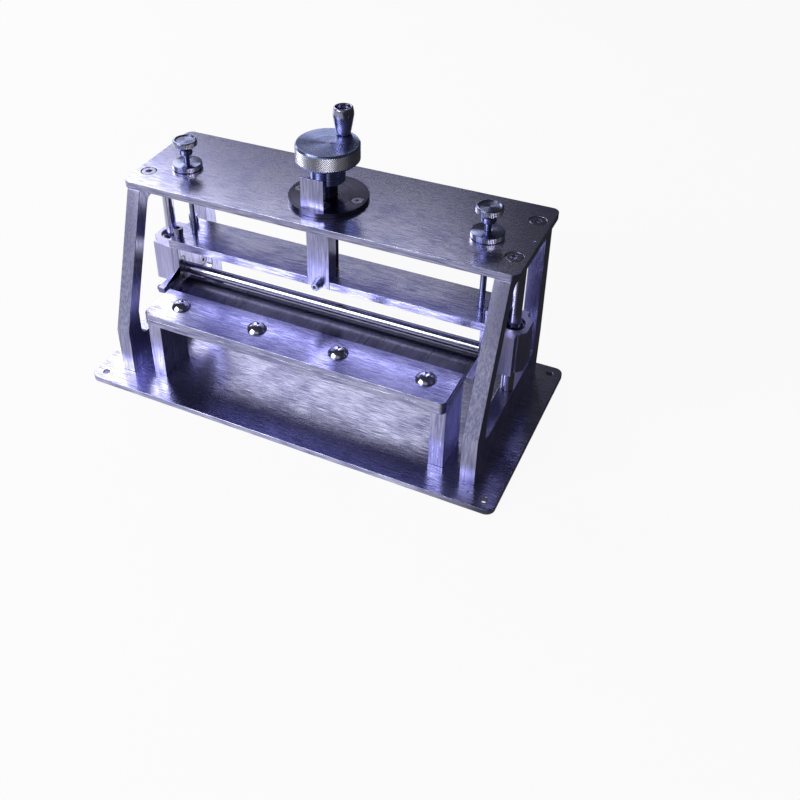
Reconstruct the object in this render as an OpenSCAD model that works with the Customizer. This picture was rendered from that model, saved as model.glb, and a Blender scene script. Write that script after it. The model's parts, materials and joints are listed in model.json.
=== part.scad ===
// Bench leather splitting machine: a fixed blade on a table, and a roller on a beam
// that a handwheel raises and lowers along two guide columns.
// Millimetres, +Z up, front towards -Y. Origin: middle of the underside of the base plate.

/* [Base plate] */
// Width of the base plate beyond each side frame
base_margin = 17.25; // [15:0.25:30]
// Depth of the base plate, front to back
base_d = 150; // [144:1:200]
// Thickness of the base plate
base_t = 4; // [4:0.5:12]
// Radius of the base plate's corners
base_r = 6; // [2:0.5:7]
// Diameter of the four bench screw holes
bench_hole_d = 4.5; // [3:0.1:6]
// Distance of the bench screw holes from the edges
bench_hole_inset = 8; // [7:0.5:9]

/* [Side frames] */
// Thickness of each side frame
frame_t = 10; // [9:0.5:12]
// Room between each end of the table and its side frame
side_room = 13.25; // [12.5:0.25:20]
// Height of the side frames
frame_h = 130; // [124:1:150]
// Front of the feet, measured forward from the middle of the base
foot_front = 58.5; // [56:0.5:62]
// Back of the feet, measured backward from the middle of the base
foot_rear = 63.5; // [61:0.5:66]
// Height at which the legs start to lean inward
kink_h = 35; // [30:1:40]
// Horizontal width of the leaning front leg
front_leg_w = 11; // [9:0.5:13]
// Width of the front foot below the lean
front_foot_w = 14.5; // [12:0.5:17]
// Width of the rear leg at the top rail
rear_leg_w = 10; // [8:0.5:12]
// Width of the rear foot at the bottom rail
rear_foot_w = 12.5; // [10:0.5:15]
// Height of the rail under the top plate
top_rail_h = 8; // [7:0.5:10]
// Height of the rail on the base
bottom_rail_h = 24; // [20:1:28]
// Radius of the window's corners
window_r = 6; // [3:0.5:8]

/* [Top plate] */
// Width of the top plate beyond each side frame
top_overhang = 3.75; // [1:0.25:10]
// Thickness of the top plate
top_t = 5; // [4.5:0.5:8]
// Front edge of the top plate, measured forward from the middle of the base
top_front = 24.5; // [22:0.5:28]
// Rear edge of the top plate, measured backward from the middle of the base
top_rear = 58; // [56:0.5:60]
// Radius of the top plate's corners
top_r = 5; // [2:0.5:6]
// Distance of the top plate's screws from its front and rear edges
top_screw_inset = 19; // [16:0.5:22]

/* [Lift] */
// Lift plane, measured backward from the middle of the base: columns, spindle and rods
lift_y = 11; // [9:0.5:13]
// Underside of the beam above the base plate at rest
beam_rise = 77; // [74:0.5:80]
// Depth of the beam, the brackets and the bearing block flanges
beam_d = 34; // [32:0.5:36]
// Thickness of the beam
beam_t = 6; // [5:0.5:8]
// Reach of the beam beyond each bracket
beam_over = 1.75; // [1:0.25:3]
// Thickness of the roller brackets
bracket_t = 5; // [4.5:0.5:6]
// Height of the bracket below the beam
bracket_h = 40; // [38:0.5:42]
// Height of the bracket's front edge above the toe
bracket_front_h = 21; // [19:0.5:22]
// Reach of the toe in front of the bracket
toe_reach = 21; // [17:0.5:23]
// Height of the toe at its tip
toe_tip_h = 4; // [3.5:0.5:6]
// Diameter of the guide columns
column_d = 8; // [7:0.5:9]
// Depth of the columns in the bottom rail
column_seat = 12; // [8:0.5:16]

/* [Bearing blocks] */
// Distance from the mounting face to the outer face
block_h = 21.5; // [20.5:0.5:24]
// Distance from the mounting face to the column's axis
block_centre = 11; // [10.5:0.5:12]
// Height of the block along the column
block_l = 30; // [29:0.5:34]
// Distance of the block's top below the underside of the beam
block_drop = 0.4; // [0.3:0.1:3]
// Thickness of the mounting flange
block_flange_t = 5.5; // [5:0.5:6.5]
// Width of the body beyond the flange
block_body_w = 31; // [28:0.5:32]
// Height of the shoulder above the mounting face
block_shoulder = 16.5; // [15:0.5:18]
// Width of the nose above the shoulder
block_nose_w = 21; // [20:0.5:24]
// Outside diameter of the linear bearing
bearing_d = 15; // [13.5:0.5:16]
// Length of the linear bearing
bearing_l = 24; // [20:0.5:26]
// Outside diameter of the bearing's seals
seal_d = 11.5; // [11:0.5:12.5]

/* [Roller and blade] */
// Diameter of the roller
roller_d = 8; // [7:0.5:11]
// Diameter of the roller's journals
journal_d = 5; // [4:0.5:5.5]
// Outside diameter of the journal bushes
bush_d = 7; // [6.6:0.1:7.2]
// Gap between the roller and the blade's edge at rest
throat = 2.1; // [1.9:0.1:5]
// Blade edge, measured backward from the middle of the base
edge_y = 3.5; // [2:0.5:5]
// Thickness of the blade
blade_t = 2; // [1.5:0.1:2.5]
// Length of the ground bevel under the blade
bevel_l = 10; // [6:0.5:14]
// Depth of blade held between the two table plates
blade_hold = 25; // [22:0.5:27]

/* [Table] */
// Length of the table plates and the blade, left to right
table_w = 219; // [180:1:320]
// Front edge of the table plates, measured forward from the middle of the base
table_front = 56; // [54:0.5:58]
// Depth of the table plates
table_d = 32.5; // [31:0.5:36]
// Thickness of the lower table plate
table_t = 4.3; // [4:0.1:6]
// Thickness of the blade clamp plate
clamp_t = 4.3; // [3.8:0.1:6]
// Radius of the table plates' front corners
table_r = 4; // [1:0.5:5]
// Height of the posts
post_h = 46; // [44:0.5:48]
// Thickness of the posts
post_t = 10; // [9:0.5:12]
// Depth of the posts
post_d = 29; // [24:0.5:30]
// Set-back of the posts behind the table's front edge
post_back = 3.5; // [1:0.5:5]

/* [Spindle and handwheel] */
// Diameter of the spindle's thread
spindle_d = 12; // [10:0.5:12]
// Diameter of the spindle's journal in the beam
spindle_end_d = 8; // [6:0.5:8]
// Diameter of the nut's flange
nut_d = 52; // [50:0.5:56]
// Thickness of the nut's flange
nut_t = 3.3; // [3:0.1:5]
// Diameter of the nut's boss in the top plate
nut_boss_d = 22; // [18:0.5:24]
// Diameter of the handwheel
wheel_d = 41; // [38:0.5:41.5]
// Height of the handwheel's rim
wheel_t = 11.8; // [9:0.1:14]
// Width of the turned chamfer on the rim
wheel_chamfer = 1; // [0.5:0.1:2]
// Depth of the dished face
wheel_dish = 0.8; // [0.3:0.1:1.5]
// Diameter of the handwheel's hub
hub_d = 22; // [19:0.5:24]
// Height of the hub under the rim
hub_h = 13.8; // [10:0.1:16]
// Clearance between the hub and the nut at rest
hub_rise = 10.5; // [6:0.1:12]

/* [Crank handle] */
// Distance of the crank handle from the spindle's axis
crank_r = 15; // [12.5:0.5:15]
// Direction of the crank handle, counted from the right towards the back
crank_angle = 75; // [0:5:355]
// Diameter of the handle at its foot
crank_foot_d = 9.3; // [8.5:0.1:10.5]
// Largest diameter of the handle
crank_belly_d = 13.6; // [12.5:0.1:15]
// Diameter of the handle at its top
crank_top_d = 12.6; // [12:0.1:14.5]
// Height of the handle
crank_h = 17.8; // [16:0.1:24]
// Diameter of the recess in the top of the handle
crank_cup_d = 9.4; // [8.6:0.1:10]

/* [Clamping rods] */
// Distance of the clamping rods from the ends of the table
rod_inset = 3.25; // [3:0.25:8]
// Distance of the clamping rods in front of the lift plane
rod_front = 1.5; // [0:0.5:3]
// Diameter of the rods
rod_d = 4; // [4:0.5:5]
// Diameter of the knurled heads
knob_d = 16.5; // [14:0.5:20]
// Height of the knurled rim of the heads
knob_t = 4.2; // [3:0.1:6]
// Diameter of the neck under the head
knob_neck_d = 9; // [7:0.5:10]
// Top of the heads above the top plate
knob_rise = 20.7; // [19:0.1:28]
// Diameter of the knurled lock nuts
lock_nut_d = 20.5; // [17:0.5:24]
// Thickness of the lock nuts
lock_nut_t = 4; // [3:0.1:4.5]

/* [Stop bar and index plate] */
// Width of the travel stop bar
stop_w = 16; // [12:0.5:18]
// Depth of the travel stop bar
stop_d = 10.5; // [8:0.5:10.5]
// Upward travel that the stop bar leaves
lift_up = 10; // [6:0.5:12]
// Width of the index plate
index_w = 15.8; // [12:0.1:18]
// Height of the index plate above the nut
index_h = 21.2; // [16:0.1:23]
// Thickness of the index plate
index_t = 1.2; // [0.8:0.1:1.5]
// Depth of the index plate's foot
index_foot = 9; // [8:0.5:9]

/* [Hidden] */
// Clearances
run_gap = 0.05;   // radial clearance of a running or screwed fit
press_gap = 0.02; // radial clearance of a pressed fit
seat_gap = 0.3;   // gap between pieces that move past each other
drill_gap = 0.25; // radial clearance of a screw in a drilled hole

// Screws: shank diameter, head diameter, head height
m3 = [3, 5.5, 3];
m4_sunk = [4, 7.5, 2.2];
m4_cap = [4, 7, 4];
m5_sunk = [5, 9, 2.7];
m6_low = [6, 10.3, 3.2];
m8_dome = [6, 13.4, 4.4];
head_sink = 0.2;     // countersunk and counterbored heads lie this far below the surface
cbore_extra = 0.6;   // counterbore diameter over the head's diameter

// Heights
base_top = base_t;
frame_top = base_top + frame_h;
plate_top = frame_top + top_t;
nut_top = plate_top + nut_t;
beam_z = base_top + beam_rise;
beam_top = beam_z + beam_t;
table_z = base_top + post_h;
clamp_z = table_z + table_t;
clamp_top = clamp_z + clamp_t;
roller_z = clamp_z + throat + roller_d / 2;
block_z = beam_z - block_drop - block_l;
wheel_z = nut_top + hub_rise + hub_h;
wheel_top = wheel_z + wheel_t;

// Places across the width
frame_in = table_w / 2 + side_room;
frame_mid = frame_in + frame_t / 2;
block_face = frame_mid - block_centre;
bracket_in = block_face - bracket_t;
bracket_mid = bracket_in + bracket_t / 2;
post_in = table_w / 2 - post_t;
top_w = 2 * (frame_in + frame_t + top_overhang);
base_w = 2 * (frame_in + frame_t + base_margin);

// Places along the depth
frame_front_top = -top_front;
frame_rear_top = top_rear - 1;
beam_front = lift_y - beam_d / 2;
beam_rear = beam_front + beam_d;
table_rear = -table_front + table_d;
post_front = -table_front + post_back;

// Columns stand in the bottom rail and reach up into the top rail
column_z0 = base_top + bottom_rail_h - column_seat;
column_z1 = frame_top - 0.5;

// Beam screws: two in each bracket, on a short sleeve
beam_screw_dy = 10;
beam_screw_bite = 7.5;
sleeve_h = 3;
sleeve_d = 6.4;
sleeve_wall = 1.1;

// Block screws: four in each bearing block, between the roller and the beam screws
block_screw_dy = 13;
block_screw_z = [roller_z - 6, beam_z - 12.5];
block_waist = 4;     // the flange slopes down to the body over this height
clip_t = 1;
clip_wall = 1.8;
seal_t = 1.6;

// Spindle end below the beam, in its collar
collar_d = 16;
collar_h = 5;
thrust_t = 1;
spindle_top = wheel_z + wheel_t - 4.5;
spindle_neck_d = 10;
grub_d = 4;

// Crank handle
crank_pos = [crank_r * cos(crank_angle), lift_y + crank_r * sin(crank_angle)];
crank_pin_d = 5;
crank_cup_h = 6;
crank_belly_h = 12.4;

// Clamping rods
rod_x = table_w / 2 - rod_inset;
rod_y = lift_y - rod_front;
rod_tip = beam_z + 0.5;
knob_top = plate_top + knob_rise;
neck_h = 4;
knob_cone_h = 2.4;
knob_dish = 0.8;

// Stop bar
stop_top = frame_top - lift_up - seat_gap;
stop_screw_z = beam_z + beam_t / 2;
stop_nut_d = 7;
stop_nut_t = 2.6;

// Index plate stands in front of the wheel's rim
index_front = lift_y - wheel_d / 2 - seat_gap - 0.7 - index_t;
index_screw_x = 4.6;

// Table screws, and small marks drilled in the plates
clamp_screw_inset = 19.5;
clamp_screw_count = 4;
clamp_pitch = (table_w - 2 * clamp_screw_inset) / (clamp_screw_count - 1);
clamp_screw_x = [for (i = [0:clamp_screw_count - 1]) (i - (clamp_screw_count - 1) / 2) * clamp_pitch];
clamp_screw_y = -38;
post_screw_dy = 8;
mark_d = 1.6;
mark_h = 1;
base_mark = [frame_mid + 3.6, -foot_front - 6.6];
top_mark = [frame_mid + 5, lift_y + 4];

steel = "#9a9bb0";
bright = "#c4c4d6";
dark = "#3c3b46";
blade_grey = "#55545f";
black = "#1c1c20";
bronze = "#a98a52";

$fn = 72;

// ---------- shared shapes ----------

// Upright plate seen from above with rounded corners, from corner a to corner b
module rounded_plate(a, b, h, r) {
    size = b - a;
    translate([a.x + r, a.y, 0]) cube([size.x - 2 * r, size.y, h]);
    translate([a.x, a.y + r, 0]) cube([size.x, size.y - 2 * r, h]);
    for (x = [a.x + r, b.x - r], y = [a.y + r, b.y - r])
        translate([x, y, 0]) cylinder(r = r, h = h);
}

// Turns an outline of [y, z] points into a plate from x to x + t
module upright(x, t) {
    translate([x, 0, 0]) rotate([90, 0, 90]) linear_extrude(t) children();
}

function unit(v) = v / norm(v);
// Distance from a corner p to where an arc of radius r leaves the line to its neighbours
function tangent(p, a, b, r) =
    let (half = acos(unit(a - p) * unit(b - p)) / 2) r / tan(half);
function arc_centre(p, a, b, r) =
    let (half = acos(unit(a - p) * unit(b - p)) / 2)
    p + unit(unit(a - p) + unit(b - p)) * r / sin(half);

// Points of the arc of radius r that rounds the corner p between its neighbours a and b
function corner_arc(p, a, b, r, steps = 8) =
    let (t = tangent(p, a, b, r), c = arc_centre(p, a, b, r),
        u = p + unit(a - p) * t - c, v = p + unit(b - p) * t - c, turn = acos(unit(u) * unit(v)))
    [for (i = [0:steps]) c + (u * sin(turn * (1 - i / steps)) + v * sin(turn * i / steps)) / sin(turn)];

// Convex outline with every corner rounded
module rounded_outline(points, r) {
    n = len(points);
    polygon([for (i = [0:n - 1])
        each corner_arc(points[i], points[(i + n - 1) % n], points[(i + 1) % n], r)]);
}

module hole(d, h) {
    translate([0, 0, -1]) cylinder(d = d, h = h + 2);
}

module hex_socket(across, depth) {
    translate([0, 0, -depth]) cylinder(d = across / cos(30), h = depth + 1, $fn = 6);
}

// Socket cap screw: head above z = 0, shank below
module cap_screw(screw, l, socket) {
    difference() {
        union() {
            cylinder(d = screw[1], h = screw[2] - 0.3);
            translate([0, 0, screw[2] - 0.3])
                cylinder(d1 = screw[1], d2 = screw[1] - 0.6, h = 0.3);
            translate([0, 0, -l]) cylinder(d = screw[0], h = l + 0.1);
        }
        translate([0, 0, screw[2]]) hex_socket(socket, screw[2] * 0.55);
    }
}

// Countersunk socket screw: flat face at z = 0, everything below
module sunk_screw(screw, l, socket) {
    difference() {
        union() {
            translate([0, 0, -screw[2]])
                cylinder(d1 = screw[0], d2 = screw[1], h = screw[2]);
            translate([0, 0, -l]) cylinder(d = screw[0], h = l - screw[2] + 0.1);
        }
        hex_socket(socket, screw[2] * 0.6);
    }
}

// Domed socket screw: dome above z = 0, shank below
module dome_screw(screw, l, socket) {
    r = screw[1] / 2;
    rim = 0.6;
    dome = screw[2] - rim;
    ball = (r * r + dome * dome) / (2 * dome);
    difference() {
        union() {
            cylinder(r = r, h = rim);
            intersection() {
                translate([0, 0, rim]) cylinder(r = r, h = dome);
                translate([0, 0, rim + dome - ball]) sphere(r = ball);
            }
            translate([0, 0, -l]) cylinder(d = screw[0], h = l + 0.1);
        }
        translate([0, 0, screw[2]]) hex_socket(socket, screw[2] * 0.6);
    }
}

// Room for a countersunk screw whose face lies at z = 0
module sunk_hole(screw, l) {
    g = drill_gap;
    translate([0, 0, -screw[2] - g])
        cylinder(d1 = screw[0] + 2 * g, d2 = screw[1] + 2 * g, h = screw[2]);
    translate([0, 0, -g]) cylinder(d = screw[1] + 2 * g, h = g + 1);
    translate([0, 0, -l - g]) cylinder(d = screw[0] + 2 * g, h = l + g);
}

// Tapped hole for a screw, from z = 0 downward
module tapped(screw, l) {
    translate([0, 0, -l - 0.5]) cylinder(d = screw[0] + 2 * run_gap, h = l + 1.5);
}

// ---------- frame ----------

foot_screw_y = [-foot_front + front_foot_w / 2, foot_rear - rear_foot_w / 2];
foot_screw_l = base_t + 9;
post_screw_y = [for (s = [-1, 1]) post_front + post_d / 2 + s * post_screw_dy];
post_mid = post_in + post_t / 2;

module at_base_screws(x_list, y_list) {
    for (x = x_list, y = y_list)
        translate([x, y, head_sink]) rotate([180, 0, 0]) children();
}

module base_plate() {
    color(steel) difference() {
        rounded_plate([-base_w / 2, -base_d / 2], [base_w / 2, base_d / 2], base_t, base_r);
        for (sx = [-1, 1], sy = [-1, 1])
            translate([sx * (base_w / 2 - bench_hole_inset),
                sy * (base_d / 2 - bench_hole_inset), 0]) hole(bench_hole_d, base_t);
        at_base_screws([-frame_mid, frame_mid], foot_screw_y) sunk_hole(m5_sunk, foot_screw_l);
        at_base_screws([-post_mid, post_mid], post_screw_y) sunk_hole(m5_sunk, foot_screw_l);
        translate([base_mark.x, base_mark.y, base_top - mark_h])
            cylinder(d = mark_d, h = mark_h + 1);
    }
}

// Outer edge of the leaning front leg at height z
function front_lean(z) = frame_front_top
    - (frame_top - z) * (foot_front - top_front) / (frame_h - kink_h);

module frame_outline() {
    polygon([[-foot_front, base_top], [foot_rear, base_top],
        [foot_rear, base_top + kink_h], [frame_rear_top, frame_top],
        [frame_front_top, frame_top], [-foot_front, base_top + kink_h]]);
}

module window_outline() {
    z0 = base_top + bottom_rail_h;
    z1 = frame_top - top_rail_h;
    low = -foot_front + front_foot_w;
    lean = (foot_front - top_front) / (frame_h - kink_h);
    z_kink = frame_top - (frame_front_top + front_leg_w - low) / lean;
    rounded_outline([[low, z0], [low, z_kink], [front_lean(z1) + front_leg_w, z1],
        [frame_rear_top - rear_leg_w, z1], [foot_rear - rear_foot_w, z0]], window_r);
}

module side_frame(side) {
    color(bright) difference() {
        upright(side * frame_mid - frame_t / 2, frame_t) frame_outline();
        upright(side * frame_mid - frame_t / 2 - 1, frame_t + 2) window_outline();
        translate([side * frame_mid, lift_y, column_z0])
            cylinder(d = column_d + 2 * press_gap, h = frame_h);
        translate([side * frame_mid, 0, 0]) {
            for (y = foot_screw_y) translate([0, y, base_top]) rotate([180, 0, 0])
                tapped(m5_sunk, foot_screw_l - base_t);
            for (y = top_screw_y) translate([0, y, frame_top]) tapped(m6_low, top_rail_h - 2);
        }
    }
}

module side_frame_left() { side_frame(-1); }
module side_frame_right() { side_frame(1); }

module frame_foot_screws() {
    color(dark) at_base_screws([-frame_mid, frame_mid], foot_screw_y)
        sunk_screw(m5_sunk, foot_screw_l - 1, 3);
}

// ---------- top plate ----------

top_screw_y = [-top_front + top_screw_inset, top_rear - top_screw_inset];
top_cbore_h = m6_low[2] + head_sink;
nut_screw_r = nut_d / 2 - 6;

module top_plate() {
    color(steel) difference() {
        translate([0, 0, frame_top])
            rounded_plate([-top_w / 2, -top_front], [top_w / 2, top_rear], top_t, top_r);
        for (side = [-1, 1], y = top_screw_y) translate([side * frame_mid, y, 0]) {
            translate([0, 0, plate_top - top_cbore_h])
                cylinder(d = m6_low[1] + cbore_extra, h = top_cbore_h + 1);
            translate([0, 0, frame_top]) hole(m6_low[0] + 2 * drill_gap, top_t);
        }
        for (side = [-1, 1]) translate([side * rod_x, rod_y, frame_top])
            hole(rod_d + 2 * drill_gap, top_t);
        translate([0, lift_y, frame_top]) hole(nut_boss_d + 2 * run_gap, top_t);
        for (side = [-1, 1]) translate([side * nut_screw_r, lift_y, plate_top])
            tapped(m4_sunk, top_t);
        translate([top_mark.x, top_mark.y, plate_top - mark_h])
            cylinder(d = mark_d, h = mark_h + 1);
    }
}

module top_plate_screws() {
    color(dark) for (side = [-1, 1], y = top_screw_y)
        translate([side * frame_mid, y, plate_top - top_cbore_h])
            cap_screw(m6_low, top_t - top_cbore_h + top_rail_h - 2.5, 4);
}

module guide_column(side) {
    color(bright) translate([side * frame_mid, lift_y, column_z0 + 0.3])
        cylinder(d = column_d, h = column_z1 - column_z0);
}

module guide_column_left() { guide_column(-1); }
module guide_column_right() { guide_column(1); }

// ---------- spindle nut and index plate ----------

index_screw_y = index_front + index_t + 5;

module spindle_nut() {
    color(dark) translate([0, lift_y, 0]) difference() {
        union() {
            translate([0, 0, plate_top]) cylinder(d = nut_d, h = nut_t);
            translate([0, 0, frame_top]) cylinder(d = nut_boss_d, h = top_t + 0.1);
        }
        translate([0, 0, frame_top]) hole(spindle_d + 2 * run_gap, top_t + nut_t);
        for (side = [-1, 1]) translate([side * nut_screw_r, 0, nut_top - head_sink])
            sunk_hole(m4_sunk, nut_t);
        for (side = [-1, 1])
            translate([side * index_screw_x, index_screw_y - lift_y, nut_top])
                tapped(m3, nut_t + 1);
    }
}

module spindle_nut_screws() {
    color(dark) for (side = [-1, 1])
        translate([side * nut_screw_r, lift_y, nut_top - head_sink])
            sunk_screw(m4_sunk, nut_t + top_t - 1, 2.5);
}

module index_plate() {
    color(bright) difference() {
        union() {
            translate([-index_w / 2, index_front, nut_top]) cube([index_w, index_t, index_h]);
            translate([-index_w / 2, index_front, nut_top])
                cube([index_w, index_t + index_foot, index_t]);
        }
        for (side = [-1, 1]) translate([side * index_screw_x, index_screw_y, nut_top])
            hole(m3[0] + 2 * drill_gap, index_t);
    }
}

module index_plate_screws() {
    color(dark) for (side = [-1, 1])
        translate([side * index_screw_x, index_screw_y, nut_top + index_t])
            dome_screw([3, 5.2, 1.6], index_t + nut_t - 0.5, 2);
}

// ---------- table and blade ----------

blade_rear_hold = table_rear - blade_hold;
table_screw_y = post_screw_y;

module table_post(side) {
    color(bright) difference() {
        translate([side * post_mid - post_t / 2, post_front, base_top])
            cube([post_t, post_d, post_h]);
        for (y = post_screw_y) {
            translate([side * post_mid, y, base_top]) rotate([180, 0, 0])
                tapped(m5_sunk, foot_screw_l - base_t);
            translate([side * post_mid, y, table_z]) tapped(m4_sunk, 8);
        }
    }
}

module table_post_left() { table_post(-1); }
module table_post_right() { table_post(1); }

module post_foot_screws() {
    color(dark) at_base_screws([-post_mid, post_mid], post_screw_y)
        sunk_screw(m5_sunk, foot_screw_l - 1, 3);
}

// Table plate with rounded front corners
module table_slab(z, t) {
    translate([0, 0, z]) intersection() {
        rounded_plate([-table_w / 2, -table_front], [table_w / 2, table_rear + table_r * 2],
            t, table_r);
        translate([-table_w / 2 - 1, -table_front - 1, 0])
            cube([table_w + 2, table_d + 1, t]);
    }
}

// The blade lies in a rebate, so its top is level with the plate's own top
rebate_h = blade_t + 0.05;

module table_plate() {
    color(steel) difference() {
        table_slab(table_z, table_t);
        translate([-table_w / 2 - 1, blade_rear_hold - 0.3, clamp_z - rebate_h])
            cube([table_w + 2, table_d, rebate_h + 1]);
        for (x = clamp_screw_x) translate([x, clamp_screw_y, clamp_z])
            tapped(m8_dome, table_t + 1);
        for (side = [-1, 1], y = table_screw_y)
            translate([side * post_mid, y, clamp_z - rebate_h])
                sunk_hole([4, 7, 1.4], table_t);
    }
}

module table_plate_screws() {
    color(dark) for (side = [-1, 1], y = table_screw_y)
        translate([side * post_mid, y, clamp_z - rebate_h - 0.1])
            sunk_screw([4, 7, 1.4], table_t - rebate_h + 7, 2.5);
}

module splitting_blade() {
    edge_t = 0.15;
    z1 = clamp_z - 0.02;
    color(blade_grey) difference() {
        upright(-table_w / 2, table_w)
            polygon([[blade_rear_hold, z1 - blade_t], [edge_y - bevel_l, z1 - blade_t],
                [edge_y, z1 - edge_t], [edge_y, z1], [blade_rear_hold, z1]]);
        for (x = clamp_screw_x) translate([x, clamp_screw_y, z1 - blade_t])
            hole(m8_dome[0] + 2 * drill_gap, blade_t);
    }
}

module blade_clamp_plate() {
    color(bright) difference() {
        table_slab(clamp_z, clamp_t);
        for (x = clamp_screw_x) translate([x, clamp_screw_y, clamp_z])
            hole(m8_dome[0] + 2 * drill_gap, clamp_t);
    }
}

module blade_clamp_screws() {
    color(bright) for (x = clamp_screw_x) translate([x, clamp_screw_y, clamp_top])
        dome_screw(m8_dome, clamp_t + table_t - 0.4, 4);
}

// ---------- lift beam and what hangs from it ----------

beam_screw_y = [lift_y - beam_screw_dy, lift_y + beam_screw_dy];

module lift_beam() {
    half = bracket_in + bracket_t + beam_over;
    color(steel) difference() {
        translate([-half, beam_front, beam_z]) cube([2 * half, beam_d, beam_t]);
        translate([-stop_w / 2 - run_gap, beam_front - 1, beam_z - 1])
            cube([stop_w + 2 * run_gap, stop_d + 1 + run_gap, beam_t + 2]);
        translate([0, lift_y, beam_z]) hole(spindle_end_d + 2 * run_gap, beam_t);
        for (side = [-1, 1]) {
            for (y = beam_screw_y) translate([side * bracket_mid, y, beam_z])
                hole(m4_cap[0] + 2 * drill_gap, beam_t);
            translate([side * rod_x, rod_y, beam_top]) tapped([rod_d], beam_t + 1);
        }
        translate([0, beam_front + stop_d, stop_screw_z]) rotate([90, 0, 0])
            translate([0, 0, -2.4]) cylinder(d = m3[0] + 2 * run_gap, h = 4);
    }
}

module beam_screws() {
    color(dark) for (side = [-1, 1], y = beam_screw_y)
        translate([side * bracket_mid, y, beam_top + sleeve_h])
            cap_screw(m4_cap, sleeve_h + beam_t + beam_screw_bite, 3);
}

module beam_screw_sleeves() {
    color(bright) for (side = [-1, 1], y = beam_screw_y)
        translate([side * bracket_mid, y, beam_top]) difference() {
            cylinder(d = sleeve_d, h = sleeve_h);
            hole(m4_cap[0] + 2 * run_gap, sleeve_h);
        }
}

bracket_z = beam_z - bracket_h;
toe_top = beam_z - bracket_front_h;
toe_screw_z = toe_top - toe_tip_h / 2;
toe_screw_y = beam_front - toe_reach + 2.6;
toe_heel = 4;   // bracket's bottom edge starts this far behind its front edge

module roller_bracket(side) {
    color(bright) difference() {
        upright(side * bracket_mid - bracket_t / 2, bracket_t)
            polygon([[beam_front, beam_z], [beam_front, toe_top],
                [beam_front - toe_reach, toe_top],
                [beam_front - toe_reach, toe_top - toe_tip_h],
                [beam_front + toe_heel, bracket_z], [beam_rear, bracket_z],
                [beam_rear, beam_z]]);
        translate([side * bracket_mid, edge_y, roller_z]) rotate([0, 90, 0])
            cylinder(d = bush_d + 2 * press_gap, h = bracket_t + 2, center = true);
        for (y = beam_screw_y) translate([side * bracket_mid, y, beam_z]) tapped(m4_cap, beam_screw_bite);
        at_block_screws(side) sunk_hole(m4_sunk, bracket_t + 1);
        translate([side * bracket_mid, toe_screw_y, toe_screw_z]) rotate([0, 90, 0])
            cylinder(d = 2 + 2 * run_gap, h = bracket_t + 2, center = true);
    }
}

module roller_bracket_left() { roller_bracket(-1); }
module roller_bracket_right() { roller_bracket(1); }

// Small pan screws on the outside of the toes
module toe_screws() {
    color(dark) for (side = [-1, 1])
        translate([side * block_face, toe_screw_y, toe_screw_z])
            rotate([0, side * 90, 0]) dome_screw([2, 4.4, 2.2], bracket_t - 0.5, 1.5);
}

// Screw faces lie on the inner side of the brackets and point outward
module at_block_screws(side) {
    for (y = [lift_y - block_screw_dy, lift_y + block_screw_dy], z = block_screw_z)
        translate([side * (bracket_in + head_sink), y, z])
            rotate([0, -side * 90, 0]) children();
}

module block_screws() {
    color(dark) for (side = [-1, 1]) at_block_screws(side)
        sunk_screw(m4_sunk, bracket_t + block_flange_t - 1.5, 2.5);
}

module block_outline() {
    f = beam_d / 2;
    b = block_body_w / 2;
    n = block_nose_w / 2;
    bevel = (block_h - block_shoulder) * 0.8;
    half = [[0, f], [block_flange_t, f], [block_flange_t + block_waist, b],
        [block_shoulder, b], [block_shoulder, n], [block_h - bevel, n], [block_h, n - bevel]];
    polygon(concat(half, [for (i = [len(half) - 1:-1:0]) [half[i].x, -half[i].y]]));
}

module bearing_block(side) {
    color(bright) difference() {
        translate([side * block_face, lift_y, block_z]) rotate([0, 0, side > 0 ? 0 : 180])
            linear_extrude(block_l) block_outline();
        translate([side * frame_mid, lift_y, block_z]) hole(bearing_d + 2 * press_gap, block_l);
        at_block_screws(side) translate([0, 0, -bracket_t + head_sink])
            tapped(m4_sunk, block_flange_t - 0.5);
    }
}

module bearing_block_left() { bearing_block(-1); }
module bearing_block_right() { bearing_block(1); }

bearing_z = block_z + (block_l - bearing_l) / 2;

module tube(d_out, d_in, h) {
    difference() {
        cylinder(d = d_out, h = h);
        hole(d_in, h);
    }
}

module linear_bearing(side) {
    color(steel) translate([side * frame_mid, lift_y, bearing_z]) difference() {
        cylinder(d = bearing_d, h = bearing_l);
        hole(column_d + 2 * run_gap, bearing_l);
        for (z = [-1, bearing_l - seal_t]) translate([0, 0, z])
            cylinder(d = seal_d + 2 * press_gap, h = seal_t + 1);
    }
}

module linear_bearing_left() { linear_bearing(-1); }
module linear_bearing_right() { linear_bearing(1); }

module bearing_seals() {
    color(black) for (side = [-1, 1], z = [bearing_z, bearing_z + bearing_l - seal_t])
        translate([side * frame_mid, lift_y, z])
            tube(seal_d, column_d + 2 * run_gap, seal_t);
}

// Retaining rings at both ends of the bearings
module bearing_circlips() {
    clip_z = [bearing_z - 0.2 - clip_t, bearing_z + bearing_l + 0.2];
    color(dark) for (side = [-1, 1], z = clip_z)
        translate([side * frame_mid, lift_y, z]) difference() {
            tube(bearing_d, bearing_d - 2 * clip_wall, clip_t);
            translate([side * bearing_d / 2, 0, clip_t / 2]) cube([6, 4, 4], center = true);
        }
}

// ---------- roller ----------

roller_face = bracket_in - seat_gap;

module along_x(x) {
    translate([x, edge_y, roller_z]) rotate([0, 90, 0]) children();
}

module roller_bush(side) {
    color(bronze) along_x(side * bracket_mid - bracket_t / 2 + 0.05)
        tube(bush_d, journal_d + 2 * run_gap, bracket_t - 0.1);
}

module roller_bush_left() { roller_bush(-1); }
module roller_bush_right() { roller_bush(1); }

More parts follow.
